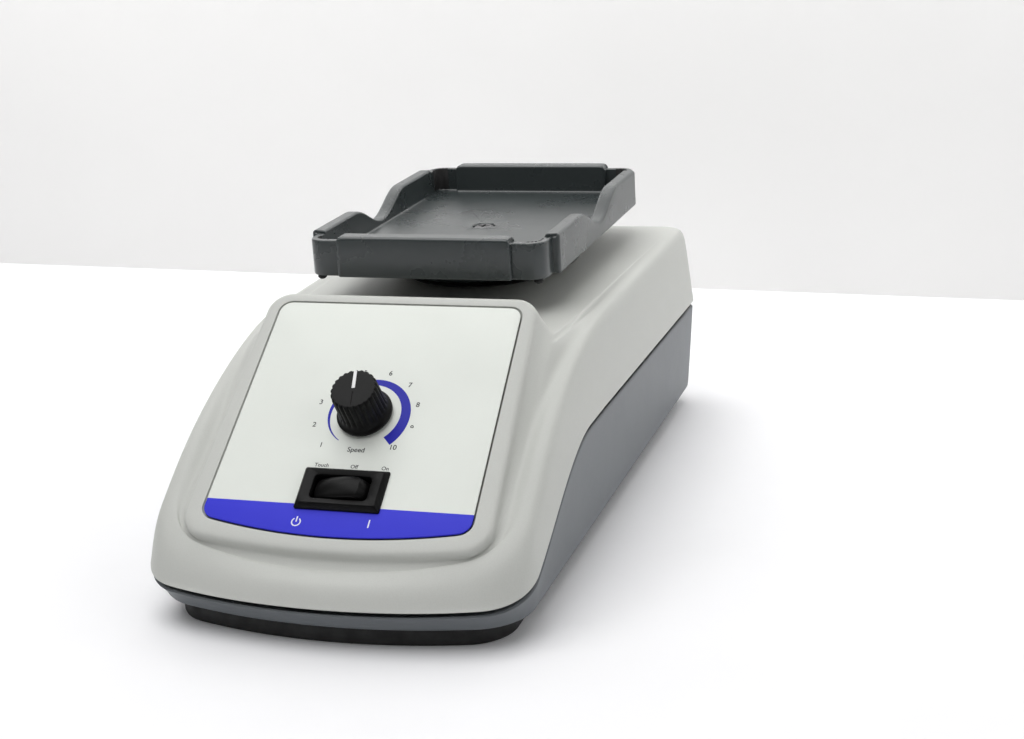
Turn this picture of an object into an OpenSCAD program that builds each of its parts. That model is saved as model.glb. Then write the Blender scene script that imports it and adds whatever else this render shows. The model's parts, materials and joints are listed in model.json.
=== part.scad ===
// Bench vortex mixer with a microplate tray: two-part housing, sloping control panel,
// and a sprung motor carriage whose eccentric makes the tray orbit without turning.
// Millimetres, +Z up. The origin is the middle of the footprint, on the bench.
// The panel frame has u to the right, s up the slope and h out of the panel.

/* [Housing] */
// Overall length, front to rear
body_len = 270; // [264:1:276]
// Overall width, at the joint between cover and base
body_w = 136.8; // [134:0.2:140]
// Height of the flat rear deck above the bench
deck_z = 78; // [77:0.5:79]
// Gap between the cover's lower edge and the base
joint_gap = 1.6; // [0.8:0.1:1.8]
// Nominal wall of both shells
wall = 2.6; // [2.2:0.1:3]

/* [Control panel] */
// Slope of the panel to the bench, in degrees
panel_tilt = 35.8; // [34:0.1:37]
// Radius of the knob at its top
knob_r = 7.9; // [7:0.1:8.4]
// Height of the knob's face above the panel
knob_h = 15; // [13:0.5:16]
// Turn of the knob's pointer from straight up the panel, in degrees, to the left
pointer_turn = 9; // [-45:1:45]
// Rocker swing each side of its middle position, in degrees
rocker_swing = 11; // [8:0.5:12]

/* [Tray] */
// Outer length of the tray at its corners, front to rear
tray_len = 138.8; // [138:0.1:141]
// Outer width of the tray at its corners
tray_w = 91.6; // [91.6:0.1:94]
// Height of the tray's floor above the bench
tray_floor_z = 95.1; // [94.8:0.1:96]
// Height of the tray's corners above the bench
tray_rim_z = 104.8; // [104:0.1:107]

/* [Drive] */
// Offset of the eccentric pin, half the orbit's diameter
orbit_r = 2.45; // [1:0.05:2.5]
// Downward travel of the motor carriage in touch mode
press_travel = 1.5; // [1:0.1:1.6]
// Diameter of the disc under the tray
head_disc_d = 76; // [70:1:78]

/* [Hidden] */
$fn = 64;

half_len = body_len / 2;
half_w = body_w / 2;
floor_z = 6;                     // underside of the base, held up by the feet
floor_top = floor_z + wall;
panel_y = -108.7;                // s = 0 of the panel: the upper edge of the dark band on the label
panel_z = 39.2;
label_t = 0.6;
rear_corner_r = 6.5;              // of the housing's rear corners, seen from above
panel_back = -label_t - wall;    // inner face of the cover behind the label
motor_y = 52.2;
head_y = motor_y + orbit_r;
eps = 0.01;

dial_s = 36.4;                   // centre of the dial, up the panel
switch_s = 6;                    // centre of the rocker switch
rocker_pivot = -4.6;             // depth of the rocker's pivot
rocker_r = 10.7;                 // radius of the rocker's ends about its pivot

// ---- places ----
function panel_point(u, s, h) = [u,
    panel_y + s * cos(panel_tilt) - h * sin(panel_tilt),
    panel_z + s * sin(panel_tilt) + h * cos(panel_tilt)];

module on_panel(u, s, h) {
    translate(panel_point(u, s, h)) rotate([panel_tilt, 0, 0]) children();
}

module pair_x(x) {
    for (side = [-1, 1]) translate([side * x, 0, 0]) children();
}

module tube(r_out, r_in, h) {
    difference() {
        cylinder(r = r_out, h = h);
        translate([0, 0, -1]) cylinder(r = r_in, h = h + 2);
    }
}

module rounded_box(size, r) {
    linear_extrude(size.z) rounded_rect(size.x, size.y, r);
}

module rounded_rect(w, l, r) {
    square([w - 2 * r, l], center = true);
    square([w, l - 2 * r], center = true);
    for (x = [-1, 1], y = [-1, 1]) translate([x * (w / 2 - r), y * (l / 2 - r)]) circle(r);
}

// ---- lofted housing shells ----
// A ring is one closed outline seen from above, in six stretches each side: front edge, front corner,
// side before and behind the split, rear corner and rear edge. Rings share these counts, so they loft.
n_front = 6;
n_corner = 6;
n_side = 9;
n_split = 5;
n_rear_corner = 5;
n_rear = 4;
ring_n = 2 * (n_front + n_corner + n_side + n_split + n_rear_corner + n_rear);

function half_outline(wf, wr, front, rear, rf, rr, bow, split) =
    let (a = atan(2 * bow / (wf - rf)),
         xb = wf - rf * (1 - sin(a)),
         cy = front + bow + rf * cos(a),
         y_end = rear - rr,
         width = function(y) wf + (wr - wf) * (y - cy) / (y_end - cy))
    concat([for (i = [0:n_front - 1]) let (x = xb * i / n_front) [x, front + bow * pow(x / xb, 2)]],
           [for (i = [0:n_corner - 1]) let (t = a - 90 + (90 - a) * i / n_corner)
               [wf - rf + rf * cos(t), cy + rf * sin(t)]],
           [for (i = [0:n_side - 1]) let (y = cy + (split - cy) * i / n_side) [width(y), y]],
           [for (i = [0:n_split - 1]) let (y = split + (y_end - split) * i / n_split) [width(y), y]],
           [for (i = [0:n_rear_corner - 1]) let (t = 90 * i / n_rear_corner)
               [wr - rr + rr * cos(t), y_end + rr * sin(t)]],
           [for (i = [0:n_rear]) [(wr - rr) * (1 - i / n_rear), rear]]);

function full_ring(half) = concat(half, [for (i = [len(half) - 2:-1:1]) [-half[i].x, half[i].y]]);

// Plan ring of the housing, drawn in by `inset` from the joint line, with its height from a function of y.
// `lean` draws its sides in further where the walls stand tall and lets them out near the nose.
function body_ring(inset, nose_inset, z_of, lean = 0) =
    [for (p = full_ring(half_outline(half_w - 0.5 - inset, half_w - inset, -half_len + nose_inset,
                                     half_len - inset, 19, rear_corner_r, 7, -33)))
        [p.x * (1 - lean * crest_lean(p.y) / half_w), p.y, z_of(p.y)]];

// Ring in the panel frame, `out` larger than the pad's rim, at height h
function pad_ring(out, h) =
    [for (p = full_ring(half_outline(53.6 + out, 50 + out, -17 - out, 88 + out, 10 + out, 8 + out, 3.5, 76)))
        panel_point(p.x, p.y, h)];

// Ring that runs in the hollow round the pad and across the deck behind it
function hollow_ring(out, z_of) =
    [for (p = full_ring(half_outline(57 + out, 55.5 + out, -123.6 - out, -31.5 + out, 13, 8, 4.5, -44)))
        [p.x, p.y, z_of(p.y)]];

function label_outline(out) =
    full_ring(half_outline(47.2 + out, 45.3 + out, -11.8 - out, 84 + out, 5 + out, 4.5 + out, 4.3, 72));

function label_ring(out, h) = [for (p = label_outline(out)) panel_point(p.x, p.y, h)];

function clamp01(t) = max(0, min(1, t));
function ease(t) = let (c = clamp01(t)) c * c * (3 - 2 * c);
function smooth_min(a, b, k) = let (h = clamp01(0.5 + 0.5 * (b - a) / k)) b + (a - b) * h - k * h * (1 - h);
function smooth_max(a, b, k) = -smooth_min(-a, -b, k);

plane_z = function(y) panel_z + (y - panel_y) * tan(panel_tilt);
// Joint between cover and base: low at the front, swept up along the sides, easing down to the rear
joint_z = function(y) 13.5 + 33 * ease((y + half_len) / 93) - 2.5 * clamp01((y + 20) / 155);
// Ridge where the cover's top turns down into its sides: a long arc from the nose up to the deck
ridge_z = function(y) smooth_min(smooth_max(plane_z(y) - 4, 22, 3), deck_z, 35);
hollow_z = function(y)
    smooth_min(plane_z(y) - 5.2 - 3 * ease((y + 110) / 50), deck_z, 6);
function crest_lean(y) = -0.6 + 1.4 * ease((y + 100) / 60);

function lower(f, d) = function(y) f(y) - d;

// Stacks rings into one closed solid: the first ring is capped below and the last above
module loft(rings) {
    count = len(rings);
    points = [for (r = rings) each r];
    sides = [for (k = [0:count - 2], j = [0:ring_n - 1])
        let (a = k * ring_n + j, b = k * ring_n + (j + 1) % ring_n) each
            [[a, a + ring_n, b + ring_n], [a, b + ring_n, b]]];
    caps = [[for (j = [0:ring_n - 1]) j], [for (j = [ring_n - 1:-1:0]) (count - 1) * ring_n + j]];
    polyhedron(points, concat(sides, caps), convexity = 10);
}

// ---- housing ----
boss_places = [[54, 119, 50], [40, -94, 24]];   // x, y and the height where cover and base bosses meet
boss_r = 5;
screw_r = 1.75;

module upper_cover() {
    lip_z = lower(joint_z, -joint_gap / 2);
    color([0.79, 0.79, 0.77]) difference() {
        union() {
            loft([label_ring(-2, panel_back), pad_ring(-3.2, panel_back - 0.4),
                  hollow_ring(-2.4, lower(hollow_z, wall)), body_ring(6.8, 8.6, lower(ridge_z, wall), 1),
                  body_ring(wall + 1.8, 5, lower(ridge_z, 6), 1), body_ring(wall, 2.4, lip_z),
                  body_ring(0, 0, lip_z), body_ring(1.8, 0.8, lower(ridge_z, 6), 1),
                  body_ring(2.4, 2.8, lower(ridge_z, 2.6), 1), body_ring(3.4, 5.2, lower(ridge_z, 0.7), 1),
                  body_ring(5.2, 7.4, ridge_z, 1), body_ring(8, 9.7, lower(ridge_z, 0.2), 1),
                  hollow_ring(0, hollow_z), pad_ring(1.2, -3), pad_ring(0.3, -1), pad_ring(-1.2, -0.1),
                  label_ring(0.4, 0), label_ring(0.4, -label_t)]);
            for (b = boss_places) pair_x(b.x) difference() {
                translate([0, b.y, b.z]) cylinder(r = boss_r, h = deck_z - 1.2 - b.z);
                on_panel(0, 40, -label_t - 1.2) translate([-20, -90, 0]) cube([40, 140, 90]);
            }
        }
        for (b = boss_places) pair_x(b.x) translate([0, b.y, b.z - 1]) cylinder(r = screw_r, h = 13);
        translate([0, motor_y, deck_z - 10]) cylinder(r = 27, h = 20);
        on_panel(0, dial_s, -8) cylinder(r = 4.9, h = 16);
        on_panel(0, switch_s, -4) cube([27.4, 13.2, 16], center = true);
    }
}

module lower_base() {
    rim_z = lower(joint_z, joint_gap / 2);
    level = function(z) function(y) z;
    color([0.44, 0.47, 0.51]) difference() {
        union() {
            loft([body_ring(4.6, 6, level(floor_z)), body_ring(3.2, 4.4, level(floor_z + 1)),
                  body_ring(2.8, 3.8, level(floor_z + 2.8)), body_ring(0.4, 0.6, rim_z),
                  body_ring(5.8, 7, rim_z), body_ring(6, 7.2, lower(joint_z, -2.2)),
                  body_ring(7.5, 8.7, lower(joint_z, -2.2)), body_ring(7.5, 8.7, lower(joint_z, 2.8)),
                  body_ring(5.6, 7.4, lower(joint_z, 4.4)), body_ring(6.8, 8.4, level(floor_top))]);
            for (b = boss_places) pair_x(b.x) translate([0, b.y, floor_top - 1])
                cylinder(r = boss_r, h = b.z - floor_top + 1);
            for (x = [-1, 1], y = board_rows) translate([x * 38, y, floor_top - 1])
                cylinder(r = 3, h = board_z - floor_top + 1);
        }
        for (b = boss_places) pair_x(b.x) translate([0, b.y, 0]) {
            cylinder(r = screw_r, h = 60);
            cylinder(r = 4, h = floor_top + 2);
        }
        for (x = [-1, 1], y = board_rows) translate([x * 38, y, board_z - 7]) cylinder(r = 1.2, h = 10);
        translate([0, half_len - 5, inlet_z]) cube([29, 40, 21.4], center = true);
        translate([0, inlet_face - 2.3, inlet_z]) rotate([-90, 0, 0]) rounded_box([50.4, 23.4, 5], 4);
        pair_x(20) translate([0, half_len, inlet_z]) rotate([90, 0, 0]) cylinder(r = 1.5, h = 20);
        for (x = [-1, 1], y = [-1, 1]) translate([x * 42, motor_y + y * 44, floor_z - 1])
            cylinder(r = 2.6, h = 10);
    }
}

module front_label() {
    color([0.91, 0.92, 0.9]) on_panel(0, 0, -label_t) linear_extrude(label_t) difference() {
        polygon(label_outline(0));
        translate([0, dial_s]) circle(5);
        translate([0, switch_s]) square([27.8, 13.6], center = true);
    }
}

// ---- speed control ----
module speed_knob() {
    flute_count = 24;
    skirt_h = 3.8;
    color([0.06, 0.06, 0.07]) on_panel(0, dial_s, 0) difference() {
        union() {
            rotate_extrude() polygon([[0, 1], [9.7, 1], [9.7, 2.2], [knob_r + 0.6, skirt_h], [0, skirt_h]]);
            linear_extrude(knob_h) difference() {
                circle(knob_r + 0.3);
                for (i = [0:flute_count - 1]) rotate((i + 0.5) * 360 / flute_count)
                    translate([knob_r + 0.9, 0]) circle(0.9, $fn = 24);
            }
        }
        cylinder(r = 7.4, h = skirt_h - 0.4);
        cylinder(r = 3, h = 10);
        rotate([0, 0, pointer_turn]) translate([0, knob_r / 2 + 0.6, knob_h])
            cube([1.1, knob_r + 1.2, 0.8], center = true);
    }
}

module knob_pointer() {
    color([0.95, 0.95, 0.94]) on_panel(0, dial_s, knob_h - 0.4) rotate([0, 0, pointer_turn])
        translate([-0.55, 0.1, 0]) cube([1.1, knob_r - 0.6, 0.35]);
}

module pot_shaft() {
    color([0.7, 0.7, 0.72]) on_panel(0, dial_s, -10) cylinder(r = 3, h = 20);
}

module pot_body() {
    color([0.25, 0.27, 0.3]) on_panel(0, dial_s, 0) difference() {
        union() {
            translate([0, 0, panel_back - 10]) cylinder(r = 12, h = 10);
            translate([0, 0, panel_back - 1]) cylinder(r = 4.7, h = 6.4);
            translate([-8, -19, panel_back - 6]) cube([16, 10, 2]);
        }
        translate([0, 0, -10.05]) cylinder(r = 3.05, h = 20);
    }
}

module pot_nut() {
    color([0.75, 0.75, 0.74]) on_panel(0, dial_s, 0) difference() {
        cylinder(r = 6.6, h = 2, $fn = 6);
        translate([0, 0, -1]) cylinder(r = 4.7, h = 4);
    }
}

// ---- rocker switch ----
bezel_w = 30;
bezel_l = 16;
bezel_h = 2.4;
rocker_w = 8.2;

// Frustum on a rectangle, made as the common part of two exact prisms
module bevelled_plate(w, l, h, bevel) {
    intersection() {
        rotate([90, 0, 0]) linear_extrude(l, center = true)
            polygon([[-w / 2, 0], [w / 2, 0], [w / 2 - bevel, h], [bevel - w / 2, h]]);
        rotate([90, 0, 90]) linear_extrude(w, center = true)
            polygon([[-l / 2, 0], [l / 2, 0], [l / 2 - bevel, h], [bevel - l / 2, h]]);
    }
}

module switch_housing() {
    color([0.09, 0.09, 0.1]) on_panel(0, switch_s, 0) difference() {
        union() {
            bevelled_plate(bezel_w, bezel_l, bezel_h, 1.4);
            translate([0, 0, -10]) cube([27, 12.8, 20 + eps], center = true);
            for (u = [-8, 0, 8]) translate([u, 0, -23]) cube([0.8, 6.3, 8], center = true);
        }
        translate([0, 0, rocker_pivot - 3]) cube([22.6, 8.8, 15.2], center = true);
        cube([19.8, 8.8, 12], center = true);
        translate([0, 0, rocker_pivot]) rotate([90, 0, 0]) cylinder(r = 1.5, h = 11.6, center = true);
    }
}

// Section of the rocker across its pivot: dished top, ends that are arcs about the pivot
function rocker_section() =
    let (corner = 39.4, dish = 1.5, steps = 8,
         edge = [rocker_r * cos(corner), rocker_r * sin(corner)])
    concat([for (i = [0:steps]) let (t = -8 + (corner + 8) * i / steps)
               [rocker_r * cos(t), rocker_r * sin(t)]],
           [for (i = [1:steps - 1]) let (x = edge.x * (1 - 2 * i / steps))
               [x, edge.y - dish * (1 - pow(x / edge.x, 2))]],
           [for (i = [0:steps]) let (t = 180 - corner + (corner + 8) * i / steps)
               [rocker_r * cos(t), rocker_r * sin(t)]]);

module switch_rocker() {
    color([0.07, 0.07, 0.08]) on_panel(0, switch_s, rocker_pivot) rotate([0, -rocker_swing, 0])
        difference() {
            rotate([90, 0, 0]) linear_extrude(rocker_w, center = true) polygon(rocker_section());
            rotate([90, 0, 0]) cylinder(r = 1.55, h = 20, center = true);
        }
}

module rocker_pin() {
    color([0.7, 0.7, 0.72]) on_panel(0, switch_s, rocker_pivot) rotate([90, 0, 0])
        cylinder(r = 1.5, h = 11.6, center = true);
}

// ---- electronics ----
board_z = 15;
board_rows = [-80, -44];

module control_board() {
    color([0.1, 0.35, 0.2]) difference() {
        translate([-43, board_rows[0] - 5, board_z]) cube([86, board_rows[1] - board_rows[0] + 10, 1.6]);
        for (x = [-1, 1], y = board_rows) translate([x * 38, y, board_z - 1]) cylinder(r = 1.6, h = 4);
    }
    color([0.12, 0.12, 0.13]) translate([-28, -72, board_z + 1.6]) cube([22, 18, 12]);
    color([0.2, 0.25, 0.45]) translate([14, -62, board_z + 1.6]) cylinder(r = 8, h = 16);
}

module board_screws() {
    color([0.7, 0.7, 0.72]) for (x = [-1, 1], y = board_rows) translate([x * 38, y, board_z - 6]) {
        cylinder(r = 1.2, h = 8);
        translate([0, 0, 7.6]) cylinder(r = 2.8, h = 1.8);
    }
}

inlet_z = 24.5;
inlet_face = half_len - 0.8;     // outer face of the inlet's flange
inlet_depth = 16;

module power_inlet() {
    color([0.08, 0.08, 0.09]) translate([0, inlet_face, inlet_z]) difference() {
        union() {
            rotate([90, 0, 0]) rounded_box([50, 23, 2.2], 4);
            translate([0, -12, 0]) cube([28.6, 22, 21], center = true);
        }
        translate([0, -inlet_depth / 2, 0]) cube([24, inlet_depth + eps, 16.6], center = true);
        pair_x(20) rotate([90, 0, 0]) translate([0, 0, -1]) cylinder(r = 1.5, h = 6);
    }
}

module inlet_pins() {
    color([0.78, 0.74, 0.6]) translate([0, inlet_face - inlet_depth, inlet_z])
        for (p = [[-7, 2], [0, -3], [7, 2]]) translate([p.x, 0, p.y]) {
            translate([-1, 0, -2]) cube([2, 11, 4]);
        }
}

module inlet_screws() {
    color([0.75, 0.75, 0.76]) pair_x(20) translate([0, inlet_face, inlet_z]) rotate([90, 0, 0]) {
        translate([0, 0, -0.8]) cylinder(r = 2.6, h = 0.8);
        cylinder(r = 1.5, h = 10);
    }
}

// ---- base: ballast, carriage guides and touch switch ----
ballast_t = 8;
ballast_top = floor_top + ballast_t;
post_places = [for (x = [-1, 1], y = [-1, 1]) [x * 34, motor_y + y * 34]];
carriage_z = 27;                 // underside of the motor carriage
carriage_t = 4;
carriage_top = carriage_z + carriage_t;

module ballast_plate() {
    color([0.5, 0.5, 0.52]) difference() {
        translate([0, motor_y, floor_top]) rounded_box([98, 106, ballast_t], 6);
        for (x = [-1, 1], y = [-1, 1])
            translate([x * 42, motor_y + y * 44, floor_z]) cylinder(r = 2.5, h = 20);
        for (p = post_places) translate([p.x, p.y, floor_z]) cylinder(r = 3, h = 20);
    }
}

module ballast_screws() {
    color([0.7, 0.7, 0.72]) for (x = [-1, 1], y = [-1, 1])
        translate([x * 42, motor_y + y * 44, floor_z + 0.4]) {
            cylinder(r = 2.5, h = ballast_top - floor_z);
            translate([0, 0, ballast_top - floor_z - 0.4]) cylinder(r = 4.5, h = 3);
        }
}

module carriage_posts() {
    color([0.72, 0.72, 0.74]) for (p = post_places) translate([p.x, p.y, 0]) {
        translate([0, 0, floor_top + 1]) cylinder(r = 3, h = ballast_t);
        translate([0, 0, ballast_top]) cylinder(r = 4, h = carriage_top - ballast_top);
        translate([0, 0, carriage_top]) cylinder(r = 6, h = 2.4);
    }
}

module carriage_springs() {
    color([0.6, 0.6, 0.62]) for (p = post_places) translate([p.x, p.y, ballast_top])
        tube(6, 4.8, carriage_z - ballast_top);
}

touch_y = motor_y - 40;

module touch_switch() {
    color([0.1, 0.1, 0.11]) translate([0, touch_y, ballast_top]) difference() {
        translate([-10, -3.2, 0]) cube([20, 6.4, 6.5]);
        translate([0, 0, 3]) cylinder(r = 1.25, h = 8);
    }
}

module touch_plunger() {
    color([0.85, 0.3, 0.2]) translate([0, touch_y, carriage_z - 5.4]) cylinder(r = 1.2, h = 5.4);
}

// ---- motor ----
case_r = 32;
case_h = 33;
case_top = carriage_top + case_h;
shaft_r = 4;

module motor_carriage() {
    color([0.62, 0.63, 0.65]) difference() {
        translate([0, motor_y, carriage_z]) rounded_box([84, 88, carriage_t], 8);
        for (p = post_places) translate([p.x, p.y, 0]) cylinder(r = 4.06, h = 60);
        translate([0, motor_y, 0]) for (a = [45:90:315]) rotate([0, 0, a])
            translate([26, 0, 0]) cylinder(r = 2, h = 60);
    }
}

module motor_case() {
    color([0.55, 0.56, 0.58]) translate([0, motor_y, carriage_top]) difference() {
        cylinder(r = case_r, h = case_h);
        translate([0, 0, 3]) cylinder(r = case_r - 9, h = case_h - 6);
        translate([0, 0, 1]) cylinder(r = 11, h = 7);
        translate([0, 0, case_h - 8]) cylinder(r = 11, h = 7);
        cylinder(r = 5.5, h = case_h + 1);
        for (a = [45:90:315]) rotate([0, 0, a]) translate([26, 0, -1]) cylinder(r = 2, h = 13);
    }
}

module motor_screws() {
    color([0.7, 0.7, 0.72]) translate([0, motor_y, carriage_z]) for (a = [45:90:315]) rotate([0, 0, a])
        translate([26, 0, 0]) {
            cylinder(r = 2, h = 15);
            translate([0, 0, -2]) cylinder(r = 3.6, h = 2);
        }
}

module bearing(z) {
    translate([0, motor_y, z]) tube(11, shaft_r + 0.03, 7);
}

module lower_bearing() {
    color([0.78, 0.79, 0.8]) bearing(carriage_top + 1);
}

module upper_bearing() {
    color([0.78, 0.79, 0.8]) bearing(case_top - 8);
}

module motor_rotor() {
    color([0.66, 0.5, 0.36]) translate([0, motor_y, carriage_top]) {
        translate([0, 0, 9]) cylinder(r = 20, h = case_h - 18);
        translate([0, 0, 1]) cylinder(r = shaft_r, h = case_h + 6);
    }
}

hub_z = case_top + 0.8;
hub_h = 6;
hub_top = hub_z + hub_h;

module eccentric_hub() {
    color([0.68, 0.69, 0.71]) difference() {
        union() {
            translate([0, motor_y, hub_z]) cylinder(r = 16, h = hub_h);
            translate([0, head_y, hub_top - 1]) cylinder(r = 4, h = 12);
        }
        translate([0, motor_y, carriage_top + 1]) cylinder(r = shaft_r, h = case_h + 6);
    }
}

// Half ring on the hub's rim, on the side away from the eccentric pin
module counterweight() {
    color([0.45, 0.45, 0.47]) translate([0, motor_y, hub_z]) intersection() {
        tube(22, 16, hub_h - 0.5);
        translate([-25, -25, -1]) cube([50, 25, hub_h + 2]);
    }
}

// ---- head ----
disc_z = 81;
tray_bottom = tray_floor_z - 3.8;
disc_top = tray_bottom;
bearing_z = hub_top + 1.5;

module head_bearing() {
    color([0.78, 0.79, 0.8]) translate([0, head_y, bearing_z]) tube(11, 4.04, 7);
}

module head_spindle() {
    color([0.16, 0.17, 0.18]) translate([0, head_y, 0]) difference() {
        union() {
            translate([0, 0, bearing_z]) cylinder(r = 14, h = disc_z - bearing_z + 1);
            translate([0, 0, disc_z]) cylinder(d = head_disc_d, h = disc_top - disc_z);
        }
        translate([0, 0, bearing_z - 1]) cylinder(r = 11, h = 8);
        translate([0, 0, bearing_z]) cylinder(r = 6, h = 10);
        translate([0, 0, disc_top - 8.2]) cylinder(r = 2.5, h = 12);
    }
}

module neck_boot() {
    boot_z = deck_z - 4;
    color([0.05, 0.05, 0.05]) translate([0, motor_y, 0]) difference() {
        union() {
            translate([0, 0, boot_z]) cylinder(r = 26.7, h = deck_z - boot_z);
            translate([0, 0, deck_z]) cylinder(r = 30, h = 1.1);
        }
        cylinder(r = 17.4, h = 200);
    }
}

// ---- tray ----
tray_wall = 2.8;                 // at the corners
tray_corner_r = 6;
side_wall_t = 5.4;               // the side walls, flush inside and proud outside
side_wall_up = 1.1;              // how far they rise above the corners
side_wall_end = 11;              // from the tray's end to where the side walls start
end_panel_w = 67.4;
end_panel_t = 7;
end_panel_out = 1.8;             // how far the end panels stand proud of the corners
end_panel_up = 1.8;              // how far they rise above the corners
liner_t = 0.8;                   // rubber strip let into the inside of each corner
liner_leg = 5;
strip_ledge = 0.3;               // the strips stand on a small ledge above the floor
inner_w = tray_w - 2 * tray_wall;
inner_len = tray_len - 2 * tray_wall;
peg_inset = 3.6;
peg_depth = 3;

// Finger dip in a side wall, as an outline in the y-z plane
module dip() {
    half = 27.5;
    low = tray_floor_z + 2.2;
    high = tray_rim_z + side_wall_up;
    steps = 12;
    polygon(concat([for (i = [-steps:steps])
                       [half * i / steps, low + (high - low) * (1 - cos(180 * i / steps)) / 2]],
                   [[half, tray_rim_z + 10], [-half, tray_rim_z + 10]]));
}

// Plan of the four rubber strips
module corner_strips() {
    intersection() {
        difference() {
            rounded_rect(inner_w + 2 * liner_t, inner_len + 2 * liner_t, tray_corner_r - tray_wall + liner_t);
            rounded_rect(inner_w, inner_len, tray_corner_r - tray_wall);
        }
        for (x = [-1, 1], y = [-1, 1])
            translate([x * inner_w / 2, y * inner_len / 2]) square(2 * liner_leg, center = true);
    }
}

// Places one child at each corner's peg
module at_pegs() {
    for (x = [-1, 1], y = [-1, 1])
        translate([x * (tray_w / 2 - peg_inset), y * (tray_len / 2 - peg_inset), tray_bottom]) children();
}

module end_panels(height) {
    y = tray_len / 2 + end_panel_out - end_panel_t / 2;
    for (end = [-1, 1]) translate([0, end * y, height / 2])
        cube([end_panel_w, end_panel_t, height], center = true);
}

module microplate_tray() {
    height = tray_rim_z - tray_bottom;
    side_height = height + side_wall_up;
    color([0.27, 0.3, 0.32]) translate([0, head_y, 0]) difference() {
        union() {
            translate([0, 0, tray_bottom]) difference() {
                union() {
                    rounded_box([tray_w, tray_len, height], tray_corner_r);
                    pair_x((inner_w + side_wall_t) / 2) translate([0, 0, side_height / 2])
                        cube([side_wall_t, tray_len - 2 * side_wall_end, side_height], center = true);
                }
                translate([0, 0, tray_floor_z - tray_bottom])
                    rounded_box([inner_w, inner_len, height], tray_corner_r - tray_wall);
            }
            translate([0, 0, tray_bottom]) end_panels(height + end_panel_up);
        }
        rotate([90, 0, 90]) linear_extrude(200, center = true) dip();
        translate([0, 0, tray_floor_z + strip_ledge]) linear_extrude(height) corner_strips();
        translate([0, 0, tray_bottom - 1]) cylinder(r = 2.6, h = 20);
        translate([0, 0, tray_floor_z - 1.6]) cylinder(r = 4.4, h = 20);
        at_pegs() translate([0, 0, -1]) cylinder(r = 1.4, h = peg_depth + 1);
    }
}

module tray_screw() {
    color([0.8, 0.8, 0.81]) translate([0, head_y, 0]) {
        translate([0, 0, disc_top - 8]) cylinder(r = 2.5, h = tray_floor_z - disc_top + 7.4);
        translate([0, 0, tray_floor_z - 1.6]) cylinder(r = 4, h = 1.4);
    }
}

// Rubber at the tray's four corners: a strip let in on the inside, and a buffer pushed in from below
module tray_pegs() {
    drop = 2;
    color([0.07, 0.07, 0.08]) translate([0, head_y, 0]) {
        at_pegs() {
            cylinder(r = 1.4, h = peg_depth);
            translate([0, 0, -drop]) cylinder(r = 1.7, h = drop);
        }
        translate([0, 0, tray_floor_z + strip_ledge])
            linear_extrude(tray_rim_z - 0.4 - tray_floor_z - strip_ledge) corner_strips();
    }
}

// ---- feet and housing screws ----
module front_foot() {
    color([0.06, 0.06, 0.06]) linear_extrude(floor_z) intersection() {
        difference() {
            polygon(full_ring(half_outline(59, 59, -half_len + 6.6, 0, 16, 9, 6.6, -80)));
            translate([0, 13]) polygon(full_ring(half_outline(46, 46, -half_len + 6.6, 0, 12, 9, 4.6, -80)));
        }
        translate([-80, -200]) square([160, 103]);
    }
}

module rear_feet() {
    color([0.06, 0.06, 0.06]) pair_x(53) translate([0, 84, 0]) cylinder(r = 8, h = floor_z);
}

module housing_screws() {
    color([0.7, 0.7, 0.72]) for (b = boss_places) pair_x(b.x) translate([0, b.y, floor_top + 2]) {
        translate([0, 0, -2.2]) cylinder(r = 3.6, h = 2.2);
        cylinder(r = screw_r, h = b.z + 11 - floor_top - 2);
    }
}

upper_cover();
lower_base();
front_label();
speed_knob();
knob_pointer();
pot_body();
pot_shaft();
pot_nut();
switch_housing();
switch_rocker();
rocker_pin();
control_board();
board_screws();
power_inlet();
inlet_pins();
inlet_screws();
ballast_plate();
ballast_screws();
carriage_posts();
carriage_springs();
touch_switch();
touch_plunger();
motor_carriage();
motor_case();
motor_screws();
lower_bearing();
upper_bearing();
motor_rotor();
eccentric_hub();
counterweight();
head_bearing();
head_spindle();
neck_boot();
microplate_tray();
tray_screw();
tray_pegs();
front_foot();
rear_feet();
housing_screws();
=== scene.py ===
"""Looks of the bench vortex mixer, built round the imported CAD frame.

Shapes are worked out in millimetres, in the part's own frame, and turned into metres as each mesh is made.
The panel frame has u to the right, s up the slope of the control panel and h out of it.
"""

import json
import math

import bmesh
import bpy
import numpy as np
from mathutils import Matrix, Vector


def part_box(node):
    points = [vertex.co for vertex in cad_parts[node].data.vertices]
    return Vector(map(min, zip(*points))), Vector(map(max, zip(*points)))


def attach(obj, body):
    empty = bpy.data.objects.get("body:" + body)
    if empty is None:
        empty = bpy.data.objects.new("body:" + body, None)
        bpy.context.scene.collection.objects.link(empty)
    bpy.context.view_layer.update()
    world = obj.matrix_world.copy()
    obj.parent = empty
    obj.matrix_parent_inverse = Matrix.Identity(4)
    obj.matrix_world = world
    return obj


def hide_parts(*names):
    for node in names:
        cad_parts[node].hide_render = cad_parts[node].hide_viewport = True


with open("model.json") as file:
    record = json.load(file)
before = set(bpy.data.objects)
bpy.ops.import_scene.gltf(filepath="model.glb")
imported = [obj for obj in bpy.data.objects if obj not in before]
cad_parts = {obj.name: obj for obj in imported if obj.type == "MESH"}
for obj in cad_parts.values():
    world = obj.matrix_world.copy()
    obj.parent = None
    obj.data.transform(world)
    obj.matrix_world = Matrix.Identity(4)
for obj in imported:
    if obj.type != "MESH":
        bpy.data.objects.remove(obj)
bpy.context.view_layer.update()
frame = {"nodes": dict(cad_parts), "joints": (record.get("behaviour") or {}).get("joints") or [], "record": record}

MM = 0.001
scene = bpy.context.scene
joints = {j["name"]: j for j in frame["joints"]}


def box_mm(node):
    """Lowest and highest corner of a CAD node, in millimetres."""
    lo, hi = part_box(node)
    return lo / MM, hi / MM


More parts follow.
